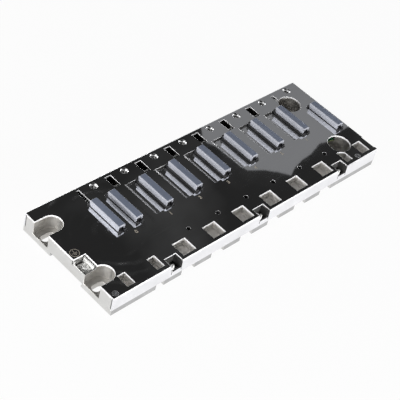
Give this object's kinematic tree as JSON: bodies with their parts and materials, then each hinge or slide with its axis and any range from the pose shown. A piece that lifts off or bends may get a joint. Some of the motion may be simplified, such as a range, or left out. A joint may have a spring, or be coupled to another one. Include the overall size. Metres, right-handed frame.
{
  "type": "plc backplane",
  "caption": "Rack backplane for a modular controller: folded bright front plate on a cast base, with capped bus connectors, hook windows, fixing slots and an earth terminal.",
  "frame": {"origin": "middle of the rear face, where the rack rests", "axes": "+X along the rack towards the end with the round recesses, +Y towards the edge with the module screws, +Z out of the rear face towards the modules"},
  "size_m": [0.306, 0.105, 0.0249],
  "materials": {
    "plate": "bright-plated sheet steel, so glossy that its face mirrors the room",
    "casting": "plain die casting",
    "board": "green solder mask",
    "zinc_steel": "bright zinc plate",
    "tinned_steel": "tinned",
    "spring_steel": "bright spring steel",
    "connector_body": "moulded, black",
    "cap": "satin blue-grey moulding"
  },
  "bodies": {
    "root": {"front_plate": "plate", "chassis": "casting", "circuit_board": "board", "board_screws": "zinc_steel", "plate_screws": "zinc_steel", "ground_bracket": "tinned_steel", "ground_clamp": "tinned_steel", "ground_screw": "zinc_steel", "ground_bar": "zinc_steel", "spring_rivets": "zinc_steel", "connector_a": "connector_body", "connector_b": "connector_body", "connector_c": "connector_body", "connector_d": "connector_body", "connector_e": "connector_body", "connector_f": "connector_body", "connector_g": "connector_body", "connector_h": "connector_body", "connector_i": "connector_body", "cap_a": "cap", "cap_b": "cap", "cap_c": "cap", "cap_d": "cap", "cap_e": "cap", "cap_f": "cap", "cap_g": "cap", "cap_h": "cap", "cap_i": "cap", "clip_1": "spring_steel", "clip_2": "spring_steel", "clip_3": "spring_steel", "rail_spring_1": "spring_steel", "rail_spring_2": "spring_steel"}
  },
  "joints": []
}
